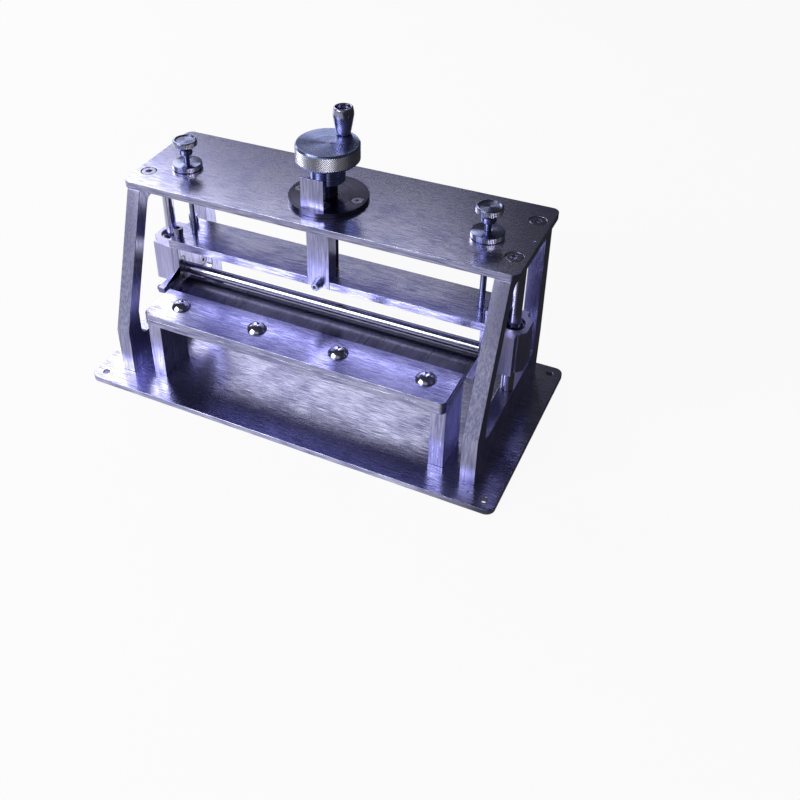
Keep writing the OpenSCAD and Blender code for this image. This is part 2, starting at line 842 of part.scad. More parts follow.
module roller() {
    color(bright) {
        along_x(-roller_face) cylinder(d = roller_d, h = 2 * roller_face);
        along_x(-block_face + seat_gap) cylinder(d = journal_d, h = 2 * (block_face - seat_gap));
    }
}

// ---------- travel stop bar ----------

module travel_stop_bar() {
    color(bright) difference() {
        translate([-stop_w / 2, beam_front, beam_z]) cube([stop_w, stop_d, stop_top - beam_z]);
        translate([0, beam_front - 1, stop_screw_z]) rotate([-90, 0, 0])
            cylinder(d = m3[0] + 2 * drill_gap, h = stop_d + 2);
    }
}

module stop_bar_nut() {
    color(bright) translate([0, beam_front, stop_screw_z]) rotate([90, 0, 0])
        tube(stop_nut_d, m3[0] + 2 * run_gap, stop_nut_t);
}

module stop_bar_screw() {
    color(dark) translate([0, beam_front - stop_nut_t, stop_screw_z]) rotate([90, 0, 0])
        cap_screw(m3, stop_nut_t + stop_d + 1.6, 2.5);
}

// ---------- spindle and handwheel ----------

module lift_spindle() {
    journal_z = beam_z - collar_h - 2 * seat_gap;
    color(dark) translate([0, lift_y, 0]) difference() {
        union() {
            translate([0, 0, beam_top + thrust_t + 0.1])
                cylinder(d = spindle_d, h = wheel_z - hub_h - beam_top - thrust_t - 0.1);
            translate([0, 0, wheel_z - hub_h - 0.1])
                cylinder(d = spindle_neck_d, h = spindle_top - wheel_z + hub_h + 0.1);
            translate([0, 0, journal_z])
                cylinder(d = spindle_end_d, h = beam_top + thrust_t + 1 - journal_z);
        }
        translate([0, 0, journal_z]) rotate([180, 0, 0]) tapped(m4_cap, 10);
    }
}

module spindle_thrust_washer() {
    color(bronze) translate([0, lift_y, beam_top + 0.05])
        tube(spindle_d, spindle_end_d + 2 * run_gap, thrust_t);
}

module spindle_collar() {
    color(steel) translate([0, lift_y, beam_z - collar_h - seat_gap]) difference() {
        cylinder(d = collar_d, h = collar_h);
        translate([0, 0, -1]) cylinder(d = m4_cap[0] + 2 * drill_gap, h = collar_h);
        translate([0, 0, -1]) cylinder(d = spindle_end_d + 2 * press_gap, h = collar_h + 2);
    }
}

module collar_screw() {
    z = beam_z - collar_h - 2 * seat_gap;
    color(dark) translate([0, lift_y, z]) rotate([180, 0, 0])
        cap_screw([4, collar_d - 3, 2.4], 8, 3);
}

module handwheel() {
    r = wheel_d / 2;
    c = wheel_chamfer;
    color(steel) translate([0, lift_y, 0]) difference() {
        union() {
            translate([0, 0, wheel_z]) rotate_extrude() polygon([[0, 0], [r - c, 0], [r, c],
                [r, wheel_t - c], [r - c, wheel_t], [0, wheel_t - wheel_dish]]);
            translate([0, 0, wheel_z - hub_h]) cylinder(d = hub_d, h = hub_h + 0.1);
        }
        translate([0, 0, wheel_z - hub_h - 1])
            cylinder(d = spindle_neck_d + 2 * press_gap, h = spindle_top + 1.3 - wheel_z + hub_h);
        translate([0, 0, wheel_z - hub_h / 2]) rotate([-90, 0, 0])
            cylinder(d = grub_d + 2 * run_gap, h = hub_d);
        translate([crank_pos.x, crank_pos.y - lift_y, wheel_top]) tapped([crank_pin_d], 8);
    }
}

module handwheel_grub_screw() {
    l = (hub_d - spindle_neck_d) / 2 - 1;
    color(dark) translate([0, lift_y + spindle_neck_d / 2 + 0.1, wheel_z - hub_h / 2])
        rotate([-90, 0, 0]) difference() {
            cylinder(d = grub_d, h = l);
            translate([0, 0, l]) hex_socket(2, 2);
        }
}

// ---------- crank handle ----------

crank_z = wheel_top + seat_gap;

module at_crank() {
    translate([crank_pos.x, crank_pos.y, crank_z]) children();
}

module crank_handle() {
    foot = crank_foot_d / 2;
    belly = crank_belly_d / 2;
    rim = crank_top_d / 2;
    color(bright) at_crank() difference() {
        rotate_extrude() polygon([[0, 0], [foot - 0.4, 0], [foot, 0.4], [foot, 1.4],
            [foot + (belly - foot) * 0.3, crank_belly_h * 0.35],
            [foot + (belly - foot) * 0.75, crank_belly_h * 0.7], [belly, crank_belly_h],
            [belly - 0.1, crank_belly_h + 2], [rim, crank_h - 0.6], [rim - 0.6, crank_h],
            [0, crank_h]]);
        hole(crank_pin_d + 2 * run_gap, crank_h);
        translate([0, 0, crank_h - crank_cup_h]) cylinder(d = crank_cup_d, h = crank_cup_h + 1);
    }
}

module crank_handle_pin() {
    seat = crank_h - crank_cup_h + 0.1;
    color(dark) at_crank() translate([0, 0, seat])
        cap_screw([crank_pin_d, crank_cup_d - 1, 2.6], seat + 7, 3);
}

// ---------- clamping rods and lock nuts ----------

module clamping_rod(side) {
    r = knob_d / 2;
    neck = knob_neck_d / 2;
    z_rim = knob_top - knob_t;
    z_neck = z_rim - knob_cone_h;
    color(dark) translate([side * rod_x, rod_y, 0]) {
        translate([0, 0, rod_tip]) cylinder(d = rod_d, h = knob_top - rod_tip - 2);
        rotate_extrude() polygon([[0, z_neck - neck_h], [neck - 0.5, z_neck - neck_h],
            [neck, z_neck - neck_h + 0.5], [neck, z_neck], [r - 0.6, z_rim], [r, z_rim + 0.6],
            [r, knob_top - 0.6], [r - 0.6, knob_top], [r - 1.6, knob_top],
            [r - 2.4, knob_top - knob_dish], [0, knob_top - knob_dish]]);
    }
}

module clamping_rod_left() { clamping_rod(-1); }
module clamping_rod_right() { clamping_rod(1); }

module lock_nut(side) {
    r = lock_nut_d / 2;
    c = 0.5;
    color(dark) translate([side * rod_x, rod_y, plate_top + 0.05]) difference() {
        rotate_extrude() polygon([[0, 0], [r - c, 0], [r, c], [r, lock_nut_t - c],
            [r - c, lock_nut_t], [0, lock_nut_t]]);
        hole(rod_d + 2 * run_gap, lock_nut_t);
    }
}

module lock_nut_left() { lock_nut(-1); }
module lock_nut_right() { lock_nut(1); }

base_plate();
side_frame_left();
side_frame_right();
frame_foot_screws();
top_plate();
top_plate_screws();
guide_column_left();
guide_column_right();
spindle_nut();
spindle_nut_screws();
index_plate();
index_plate_screws();
table_post_left();
table_post_right();
post_foot_screws();
table_plate();
table_plate_screws();
splitting_blade();
blade_clamp_plate();
blade_clamp_screws();
lift_beam();
beam_screws();
beam_screw_sleeves();
roller_bracket_left();
roller_bracket_right();
toe_screws();
bearing_block_left();
bearing_block_right();
block_screws();
linear_bearing_left();
linear_bearing_right();
bearing_seals();
bearing_circlips();
roller_bush_left();
roller_bush_right();
roller();
travel_stop_bar();
stop_bar_screw();
stop_bar_nut();
lift_spindle();
spindle_thrust_washer();
spindle_collar();
collar_screw();
handwheel();
handwheel_grub_screw();
crank_handle();
crank_handle_pin();
clamping_rod_left();
clamping_rod_right();
lock_nut_left();
lock_nut_right();
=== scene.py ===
# %% [markdown]
# # A bench leather splitting machine
# The machine is almost all stainless steel: brushed plates, milled side frames, turned and
# knurled knobs, and ground rods. The construction is already settled and is loaded as a
# frame that stays where it is. What is left for Blender is the finish: the edges that a
# file or a tumbler has softened, the knurling, the screw thread, and how each kind of
# steel shines.

# %% Load the frame
import json
import math

import bmesh
import bpy
from mathutils import Matrix, Vector


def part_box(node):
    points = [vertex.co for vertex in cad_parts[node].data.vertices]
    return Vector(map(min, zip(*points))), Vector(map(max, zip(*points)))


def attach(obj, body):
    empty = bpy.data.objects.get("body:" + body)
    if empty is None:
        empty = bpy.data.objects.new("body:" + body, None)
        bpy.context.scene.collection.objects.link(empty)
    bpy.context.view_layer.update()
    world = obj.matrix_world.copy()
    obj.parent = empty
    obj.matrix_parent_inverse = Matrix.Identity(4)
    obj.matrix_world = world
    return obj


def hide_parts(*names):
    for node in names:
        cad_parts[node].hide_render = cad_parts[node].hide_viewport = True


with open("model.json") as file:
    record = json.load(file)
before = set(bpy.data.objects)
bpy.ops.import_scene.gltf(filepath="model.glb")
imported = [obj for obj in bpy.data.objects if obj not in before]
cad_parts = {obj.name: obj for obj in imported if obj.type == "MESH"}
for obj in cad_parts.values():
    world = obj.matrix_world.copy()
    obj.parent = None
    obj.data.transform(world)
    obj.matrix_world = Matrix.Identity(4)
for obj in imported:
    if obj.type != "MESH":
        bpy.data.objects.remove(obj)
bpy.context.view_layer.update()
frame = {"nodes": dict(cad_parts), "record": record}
MM = 0.001
scene = bpy.context.scene
body_of_node = {node: body for body, nodes in frame["record"]["behaviour"]["bodies"].items() for node in nodes}

# %% [markdown]
# ## The camera
# The photograph was taken from the front right, a little above the machine. Its place was
# worked out from the plates' corners, so it is written here as a real camera: where it
# stands, how it is turned, and how long its lens is. The frame of the picture was cut off
# centre, and the small shift stands for that.

# %% Camera
CAMERA_PLACE = Vector((0.2582, -0.4907, 0.4567))
CAMERA_YAW = 29.97       # degrees to the left of straight back
CAMERA_PITCH = 36.47     # degrees down
CAMERA_ROLL = -2.72      # degrees
FOCAL_PX = 1007.6        # for an image 800 pixels wide
IMAGE_PX = 800
IMAGE_CENTRE = (292.3, 324.9)
SENSOR_MM = 36

def camera_turn(yaw, pitch, roll):
    """The camera's rotation as a matrix whose columns are its right, up and back."""
    yaw, pitch, roll = (math.radians(a) for a in (yaw, pitch, roll))
    ahead = Vector((-math.sin(yaw) * math.cos(pitch), math.cos(yaw) * math.cos(pitch), -math.sin(pitch)))
    right = Vector((math.cos(yaw), math.sin(yaw), 0))
    up = right.cross(ahead)
    level = Matrix((right, up, -ahead)).transposed()
    return level @ Matrix.Rotation(roll, 3, "Z")

lens = bpy.data.cameras.new("camera")
lens.sensor_width = SENSOR_MM
lens.lens = FOCAL_PX / IMAGE_PX * SENSOR_MM
lens.shift_x = 0.5 - IMAGE_CENTRE[0] / IMAGE_PX
lens.shift_y = IMAGE_CENTRE[1] / IMAGE_PX - 0.5
lens.clip_start = 0.01
camera = bpy.data.objects.new("camera", lens)
turned_by = camera_turn(CAMERA_YAW, CAMERA_PITCH, CAMERA_ROLL)
camera.matrix_world = Matrix.Translation(CAMERA_PLACE) @ turned_by.to_4x4()
scene.collection.objects.link(camera)
scene.camera = camera
print(f"lens {lens.lens:.1f} mm, shift {lens.shift_x:.3f}, {lens.shift_y:.3f}")

# %% [markdown]
# ## Colours and nodes
# A colour is written as the sRGB hex value that an eye sees on a screen, and one function
# turns it into the linear light that a renderer adds up. One more function adds a node
# together with its settings and links, to a material's tree or to a mesh's. The names of
# the two nodes that are used most are kept short.

# %% Colour and node helpers
def linear(hex_colour):
    """Linear RGBA of an sRGB hex colour such as "#a0a0b0"."""
    parts = [int(hex_colour[i:i + 2], 16) / 255 for i in (1, 3, 5)]
    return [p / 12.92 if p <= 0.04045 else ((p + 0.055) / 1.055) ** 2.4 for p in parts] + [1]

def add_node(tree, kind, settings=None, **inputs):
    """Adds a node. settings are its properties, inputs its sockets by name or place ("i0").

    An input is a value, a socket, or a node, which stands for its first output.
    """
    node = tree.nodes.new(kind)
    for key, value in (settings or {}).items():
        setattr(node, key, value)
    for key, value in inputs.items():
        by_place = key[0] == "i" and key[1:].isdigit()
        socket = node.inputs[int(key[1:]) if by_place else key.replace("_", " ")]
        if isinstance(value, bpy.types.Node):
            value = value.outputs[0]
        if isinstance(value, bpy.types.NodeSocket):
            tree.links.new(value, socket)
        else:
            socket.default_value = value
    return node

MATH, VECTOR = "ShaderNodeMath", "ShaderNodeVectorMath"
TIMES, PLUS, OVER = {"operation": "MULTIPLY"}, {"operation": "ADD"}, {"operation": "DIVIDE"}
LESS, TIMES_PLUS = {"operation": "SUBTRACT"}, {"operation": "MULTIPLY_ADD"}

def new_material(name):
    """An empty material, its tree, and its output."""
    material = bpy.data.materials.new(name)
    material.use_nodes = True
    material.node_tree.nodes.clear()
    return material, material.node_tree, add_node(material.node_tree, "ShaderNodeOutputMaterial")

print("linear light of mid grey:", round(linear("#808080")[0], 3))

# %% [markdown]
# ## Worked metal
# Real stainless plate is brushed by a belt, so it carries long thin lines. A belt line
# spreads a reflection across the line and keeps it narrow along it. A picture of brushed
# steel could be laid on, but it would stretch and repeat. Noise that is squeezed across
# the belt's direction has neither fault, and its size is known in millimetres. One recipe
# serves all the metals: a fine grain, soft blotches from handling, and a bump from the
# same grain. Turned pieces have the grain in rings round their own axis instead.

# %% A worked metal
GRAIN_RANGE = (0.40, 0.60)    # the part of the noise that goes from the shade to the colour
BLOTCH_SCALE = 45.0           # blotches about 20 mm wide

def metal(name, colour, shade, roughness, grain_mm, swing=0.08, bump_mm=0.004,
          axis=None, spread=0.0, tangent=None, blotch=0.25):
    """A worked metal.

    grain_mm is the grain's size along x, y and z, or along the radius and the height if an
    axis is given. swing is how far the grain moves the roughness, spread how much wider a
    reflection is along the tangent, and blotch the blotches' share of the pattern.
    """
    material, tree, out = new_material(name)
    place = add_node(tree, "ShaderNodeTexCoord").outputs["Object"]
    scale = [1 / (MM * size) for size in grain_mm]
    if axis is None:
        grain_at = add_node(tree, "ShaderNodeMapping", Vector=place, Scale=scale)
    else:
        centred = add_node(tree, VECTOR, LESS, i0=place, i1=(axis[0] * MM, axis[1] * MM, 0))
        parts = add_node(tree, "ShaderNodeSeparateXYZ", Vector=centred)
        flat = add_node(tree, VECTOR, TIMES, i0=centred, i1=(1, 1, 0))
        radius = add_node(tree, VECTOR, {"operation": "LENGTH"}, i0=flat)
        rings = add_node(tree, "ShaderNodeCombineXYZ", X=radius.outputs["Value"], Y=parts.outputs["Z"])
        grain_at = add_node(tree, "ShaderNodeMapping", Vector=rings, Scale=scale + [1])
    grain = add_node(tree, "ShaderNodeTexNoise", Vector=grain_at, Scale=1.0, Detail=2.0, Roughness=0.6)
    cloud = add_node(tree, "ShaderNodeTexNoise", Vector=place, Scale=BLOTCH_SCALE, Detail=2.0)
    part = add_node(tree, MATH, TIMES, i0=cloud, i1=blotch)
    both = add_node(tree, MATH, TIMES_PLUS, i0=grain, i1=1 - blotch, i2=part)
    share = add_node(tree, "ShaderNodeMapRange", Value=both, From_Min=GRAIN_RANGE[0], From_Max=GRAIN_RANGE[1])
    tint = add_node(tree, "ShaderNodeMix", {"data_type": "RGBA"}, i0=share, i6=linear(shade), i7=linear(colour))
    rough = add_node(tree, "ShaderNodeMapRange", Value=both, From_Min=0.3, From_Max=0.7,
                     To_Min=roughness + swing, To_Max=roughness - swing)
    bump = add_node(tree, "ShaderNodeBump", Height=grain, Strength=0.6, Distance=bump_mm * MM)
    shader = add_node(tree, "ShaderNodeBsdfPrincipled", Metallic=1.0, Base_Color=tint.outputs[2],
                      Roughness=rough, Anisotropic=spread, Normal=bump)
    if tangent:
        around = add_node(tree, "ShaderNodeTangent", {"direction_type": "RADIAL", "axis": tangent[0]})
        tree.links.new(around.outputs[0], shader.inputs["Tangent"])
        shader.inputs["Anisotropic Rotation"].default_value = tangent[1]
    tree.links.new(shader.outputs[0], out.inputs["Surface"])
    print(f"{name}: roughness {roughness - swing:.2f} to {roughness + swing:.2f}, grain {grain_mm} mm")
    return material

# %% [markdown]
# ## The machine's steels
# Nearly everything here is steel, and still no two surfaces look alike, because each was
# made in its own way: belt brushed, cut on edge, ground, polished, turned or left oily. So
# each finish is named for how it was made. Its two colours are the bright lines and the
# ground between them, and its roughness starts from what that way of working leaves.

# %% Flat steels
finish = {
    # 1.4301 plate, belt brushed from left to right: short bright hairlines on a darker ground
    "brushed_plate": metal("brushed_plate", "#d0d0f2", "#8686b4", 0.25, (11, 0.45, 0.45),
                           swing=0.1, bump_mm=0.02, spread=0.4, tangent=("X", 0.0)),
    # frames, posts and brackets: the same plate, cut on edge and brushed up and down
    "milled_frame": metal("milled_frame", "#c8c8ee", "#9c9cc8", 0.32, (1.0, 1.0, 14),
                          bump_mm=0.012, spread=0.3, tangent=("Z", 0.0)),
    # the blade: ground on a surface grinder, a darker and slightly blue tool steel
    "blade_steel": metal("blade_steel", "#6e6e80", "#50505c", 0.24, (0.6, 20, 0.6), swing=0.05),
    # screws with a plain, faintly oily surface
    "screw_steel": metal("screw_steel", "#a9a9c4", "#8585a2", 0.24, (1.2, 1.2, 1.2), swing=0.07),
    # polished pieces: the domed screws
    "polished_steel": metal("polished_steel", "#d6d6f2", "#bfbfe2", 0.14, (3, 3, 12),
                            swing=0.04, bump_mm=0.001),
}

# %% [markdown]
# Round pieces are turned on a lathe or drawn through a die. Turning leaves rings round the
# axis, and they spread a reflection outwards, so a turned face shows two bright fans.
# Grinding leaves rings too fine to see. The bearing blocks are drawn aluminium with faint
# lines along the block, and the bushes are bronze.

# %% Round and drawn pieces
WHEEL_AXIS = (0, 11)
ROD_AXES = {"left": (-106.25, 9.5), "right": (106.25, 9.5)}
OUTWARDS = ("Z", 0.25)    # a quarter turn from the ring: reflections spread along the radius
RINGS_MM = (0.35, 0.35)

finish.update({
    # natural drawn aluminium with faint drawing lines along the block
    "bearing_block": metal("bearing_block", "#cecbf2", "#b4b1e0", 0.42, (0.6, 0.6, 25), swing=0.05),
    # hardened and ground rod: almost a mirror
    "ground_shaft": metal("ground_shaft", "#cfcfe6", "#b8b8d4", 0.16, (0.5, 0.5, 6),
                          swing=0.04, bump_mm=0.001),
    # the crank handle: turned, then polished by hand along its length
    "handle_steel": metal("handle_steel", "#c6c6e2", "#9c9cbe", 0.24, (0.5, 0.5, 5), swing=0.05),
    # the spindle and its nut: turned from a darker, oiled free-cutting steel
    "oiled_steel": metal("oiled_steel", "#70708c", "#4a4a62", 0.26, RINGS_MM,
                         axis=WHEEL_AXIS, spread=0.6, tangent=OUTWARDS),
    # oil-filled sintered bronze
    "bronze": metal("bronze", "#c9a468", "#9a7842", 0.45, (0.4, 0.4, 0.4), swing=0.05),
})
# turned stainless steel in a painted lit and a painted shaded copy: a paler handwheel, and darker knobs and
# lock nuts on each rod
turned = {"wheel": metal("turned_wheel", "#b2bcea", "#8490cc", 0.27, RINGS_MM,
                         axis=WHEEL_AXIS, spread=0.8, tangent=OUTWARDS)}
for side, rod_axis in ROD_AXES.items():
    turned[side] = metal("turned_" + side, "#a2a8d0", "#7c82ae", 0.27, RINGS_MM,
                         axis=rod_axis, spread=0.8, tangent=OUTWARDS)

# %% [markdown]
# ## Knurling and rubber
# A knurl is pressed, not cut, and its crests come out smoother than its valleys. Its mesh
# carries a value named crest, 0 in the valleys and 1 on the crests, and the finish goes by
# that: a white painted highlight on the crests and darker painted shade in the valleys. The
# bearing seals are the one thing that isn't metal: matt black nitrile rubber, with a fine
# grain from its mould.

# %% Knurled steel and seal rubber
def knurled():
    """Pressed knurling: a white painted highlight on the smoother crests and darker painted shade in the
    rougher valleys.
    """
    material, tree, out = new_material("knurled_steel")
    crest = add_node(tree, "ShaderNodeAttribute", {"attribute_name": "crest"}).outputs["Fac"]
    # painted shade in the valleys (#8c8cac) and painted highlight on the crests (white)
    tint = add_node(tree, "ShaderNodeMix", {"data_type": "RGBA"}, i0=crest,
                    i6=linear("#8c8cac"), i7=linear("#ffffff"))
    rough = add_node(tree, "ShaderNodeMapRange", Value=crest, To_Min=0.45, To_Max=0.22)
    shader = add_node(tree, "ShaderNodeBsdfPrincipled", Metallic=1.0, Base_Color=tint.outputs[2],
                      Roughness=rough)
    tree.links.new(shader.outputs[0], out.inputs["Surface"])
    return material

def rubber():
    """Matt black nitrile rubber."""
    material, tree, out = new_material("seal_rubber")
    place = add_node(tree, "ShaderNodeTexCoord").outputs["Object"]
    noise = add_node(tree, "ShaderNodeTexNoise", Vector=place, Scale=1800.0, Detail=2.0)
    rough = add_node(tree, "ShaderNodeMapRange", Value=noise, To_Min=0.5, To_Max=0.75)
    bump = add_node(tree, "ShaderNodeBump", Height=noise, Strength=0.3, Distance=0.02 * MM)
    shader = add_node(tree, "ShaderNodeBsdfPrincipled", Base_Color=linear("#1b1b1f"),
                      Roughness=rough, Normal=bump)
    tree.links.new(shader.outputs[0], out.inputs["Surface"])
    return material

finish["knurled_steel"] = knurled()
finish["seal_rubber"] = rubber()
slot_of_node = {part["node"]: part["material_slot"] for part in frame["record"]["subparts"]}
print(f"{len(finish) + len(turned)} finishes for the slots {sorted(set(slot_of_node.values()))}")

# %% [markdown]
# ## Softened edges
# On the real machine no edge is a perfect corner: plates are deburred, screws are rolled
# and blocks are tumbled. The narrow round catches the light as a thin bright line, and that
# line is most of what makes machined metal look real. There are two ways to make it: a
# shader can fake the round, or the mesh can have it. Here the mesh has it, since a shader's
# round is lost in other programs. A copy of the frame's node is merged, its flat triangles
# are joined, and a bevel of the real width is laid along each sharp edge. Weighted
# normals keep the large faces flat.

# %% Copying a node with softened edges
MERGE_MM = 0.002                     # points this close are one point
FLAT_ANGLE = math.radians(0.6)       # triangles that differ less lie in one plane
BEVEL_ANGLE = math.radians(25)       # edges sharper than this get the round
SMOOTH_ANGLE = math.radians(35)      # on turned pieces, edges sharper than this stay a corner

def baked(obj):
    """Replaces the mesh by what its modifiers make, and removes them."""
    bpy.context.view_layer.update()
    mesh = bpy.data.meshes.new_from_object(obj.evaluated_get(bpy.context.evaluated_depsgraph_get()))
    obj.modifiers.clear()
    obj.data = mesh
    return obj

def softened(node, width_mm, material, segments=2):
    """A copy of a node with edges rounded by width_mm, in its place and on its body."""
    mesh = bpy.data.meshes.new(node + "_finished")
    bm = bmesh.new()
    bm.from_mesh(frame["nodes"][node].data)
    bmesh.ops.remove_doubles(bm, verts=bm.verts, dist=MERGE_MM * MM)
    bmesh.ops.dissolve_limit(bm, angle_limit=FLAT_ANGLE, verts=bm.verts, edges=bm.edges)
    bmesh.ops.recalc_face_normals(bm, faces=bm.faces)
    bm.to_mesh(mesh)
    bm.free()
    mesh.materials.clear()
    mesh.materials.append(material)
    mesh.shade_smooth()
    obj = bpy.data.objects.new(node + "_finished", mesh)
    scene.collection.objects.link(obj)
    bevel = obj.modifiers.new("round", "BEVEL")
    bevel.width = width_mm * MM
    bevel.segments = segments
    bevel.limit_method = "ANGLE"
    bevel.angle_limit = BEVEL_ANGLE
    bevel.use_clamp_overlap = False
    bevel.miter_outer = "MITER_ARC"
    obj.modifiers.new("flat_faces", "WEIGHTED_NORMAL").keep_sharp = True
    baked(obj)
    return placed(obj, node)

def placed(obj, node):
    """obj stands for the node: it rides on its body and hides it."""
    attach(obj, body_of_node[node])
    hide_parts(node)
    return obj

# %% [markdown]
# ### Plates, frames, posts and blocks
# The plates are laser cut and deburred with a file, which leaves a round of about a
# quarter of a millimetre. The blade keeps its edge: it gets no round at all.

# %% Plates, frames, posts and blocks
edge_width = {
    "base_plate": 0.35, "top_plate": 0.3, "lift_beam": 0.25, "table_plate": 0.2, "blade_clamp_plate": 0.35,
    "side_frame_left": 0.4, "side_frame_right": 0.4, "table_post_left": 0.3, "table_post_right": 0.3,
    "roller_bracket_left": 0.25, "roller_bracket_right": 0.25,
    "bearing_block_left": 0.3, "bearing_block_right": 0.3,
    "travel_stop_bar": 0.3, "index_plate": 0.12,
}
# these two share the slot of the polished pieces, but they are brushed up and down
own_finish = {"index_plate": "milled_frame", "travel_stop_bar": "milled_frame"}
for node, width in edge_width.items():
    softened(node, width, finish[own_finish.get(node, slot_of_node[node])])
frame["nodes"]["splitting_blade"].data.materials.clear()
frame["nodes"]["splitting_blade"].data.materials.append(finish["blade_steel"])
print(f"{len(edge_width)} plates and blocks with softened edges")

# %% [markdown]
# ### Rods, roller, bearings and bushes
# Ground rods have a small lead chamfer and no more. Copying them with a narrow round also
# gives them smooth sides, because the cylinders of the construction are flat strips.

# %% Rods, roller, bearings and bushes
SHAFT_EDGE = 0.12    # mm
for node in ("guide_column_left", "guide_column_right", "roller", "linear_bearing_left",
             "linear_bearing_right", "bearing_seals", "bearing_circlips", "roller_bush_left",
             "roller_bush_right", "spindle_thrust_washer"):
    softened(node, SHAFT_EDGE, finish[slot_of_node[node]])

# %% [markdown]
# ### Screws, nuts and washers
# Screw heads are forged and tumbled. Their sockets keep sharp corners, so the round is
# narrow, and it is the dished rim round each head that shows as a bright crescent.

# %% Screws, nuts and washers
SCREW_EDGE, NUT_EDGE = 0.15, 0.25    # mm
for node in ("frame_foot_screws", "post_foot_screws", "top_plate_screws", "spindle_nut_screws",
             "index_plate_screws", "table_plate_screws", "blade_clamp_screws", "beam_screws",
             "beam_screw_sleeves", "toe_screws", "block_screws", "stop_bar_screw", "stop_bar_nut",
             "collar_screw", "handwheel_grub_screw", "crank_handle_pin"):
    # the sleeves share the slot of the turned pieces, and look like the screws beside them
    worked = finish.get(slot_of_node[node], finish["screw_steel"])
    softened(node, SCREW_EDGE, turned["wheel"] if node == "stop_bar_nut" else worked)
for node in ("spindle_nut", "spindle_collar"):
    softened(node, NUT_EDGE, finish["oiled_steel"])
print(f"screws rounded by {SCREW_EDGE} mm, the spindle's nut and collar by {NUT_EDGE} mm")

# %% [markdown]
# ## Turned pieces
# Knobs and the handwheel come off a lathe, so each is a profile turned round an axis. The
# profile is written as points of radius and height, in millimetres, and a curved side is
# made of as many points as it needs.

# %% A lathe
def lathe(name, profile, axis, steps=96):
    """A mesh object: the profile of (radius, height) points in mm, turned round a vertical axis."""
    bm = bmesh.new()
    rings = []
    turns = [2 * math.pi * i / steps for i in range(steps)]
    for radius, height in profile:
        if radius < 1e-6:    # on the axis: one point closes the end
            rings.append([bm.verts.new((axis[0] * MM, axis[1] * MM, height * MM))])
            continue
        rings.append([bm.verts.new(((axis[0] + radius * math.cos(turn)) * MM,
                                    (axis[1] + radius * math.sin(turn)) * MM,
                                    height * MM)) for turn in turns])
    for low, high in zip(rings, rings[1:]):
        for i in range(steps):
            j = (i + 1) % steps
            corners = [low[i % len(low)], low[j % len(low)], high[j % len(high)], high[i % len(high)]]
            bm.faces.new(list(dict.fromkeys(corners)))
    bmesh.ops.recalc_face_normals(bm, faces=bm.faces)
    mesh = bpy.data.meshes.new(name)
    bm.to_mesh(mesh)
    bm.free()
    mesh.shade_smooth()
    mesh.set_sharp_from_angle(angle=SMOOTH_ANGLE)
    obj = bpy.data.objects.new(name, mesh)
    scene.collection.objects.link(obj)
    return obj

print("lathe ready:", int(math.degrees(SMOOTH_ANGLE)), "degrees and more stay a sharp corner")

# %% [markdown]
# ### Knurling and threads with Geometry Nodes
# A knurling wheel presses the same small shape into the rim again and again. Modelling each
# one by hand would take a day, and a texture would leave the outline smooth. A node tree
# does it better: it counts out points and puts one small shape on each. All the trees here
# begin and end alike, so that is written once. Each has named inputs for its sizes, turns
# its copies into real mesh at the end, and gives the mesh its finish.

# %% How each tree begins and ends
def new_tree(name, **inputs):
    """An empty geometry node tree with named inputs, its inputs' sockets, and a function that ends it."""
    tree = bpy.data.node_groups.new(name, "GeometryNodeTree")
    for key, kind in inputs.items():
        tree.interface.new_socket(name=key, in_out="INPUT", socket_type="NodeSocket" + kind)
    tree.interface.new_socket(name="Geometry", in_out="OUTPUT", socket_type="NodeSocketGeometry")
    start = add_node(tree, "NodeGroupInput")
    def end(geometry):
        real = add_node(tree, "GeometryNodeRealizeInstances", Geometry=geometry)
        painted = add_node(tree, "GeometryNodeSetMaterial", Geometry=real, Material=start.outputs["Material"])
        add_node(tree, "NodeGroupOutput", Geometry=painted)
        print(name, "has", len(tree.nodes), "nodes")
    return tree, start.outputs, end

# %% [markdown]
# A diamond knurl is rows of small four-sided pyramids that stand on their corners. They
# could be cut by two crossing spirals, as on a lathe, but then nearly every face of the
# rim would be a sliver. Here each pyramid is one small cone with four sides. Its row and
# its turn come from its number: every second row is shifted by half a step, so that the
# corners of one row fill the gaps of the next. Each point also keeps how near it is to its
# crest, from 0 to 1, so that the finish can be bright there and dark in the valleys.

# %% Diamond knurl
STORE, ON_POINTS = "GeometryNodeStoreNamedAttribute", {"data_type": "FLOAT", "domain": "POINT"}

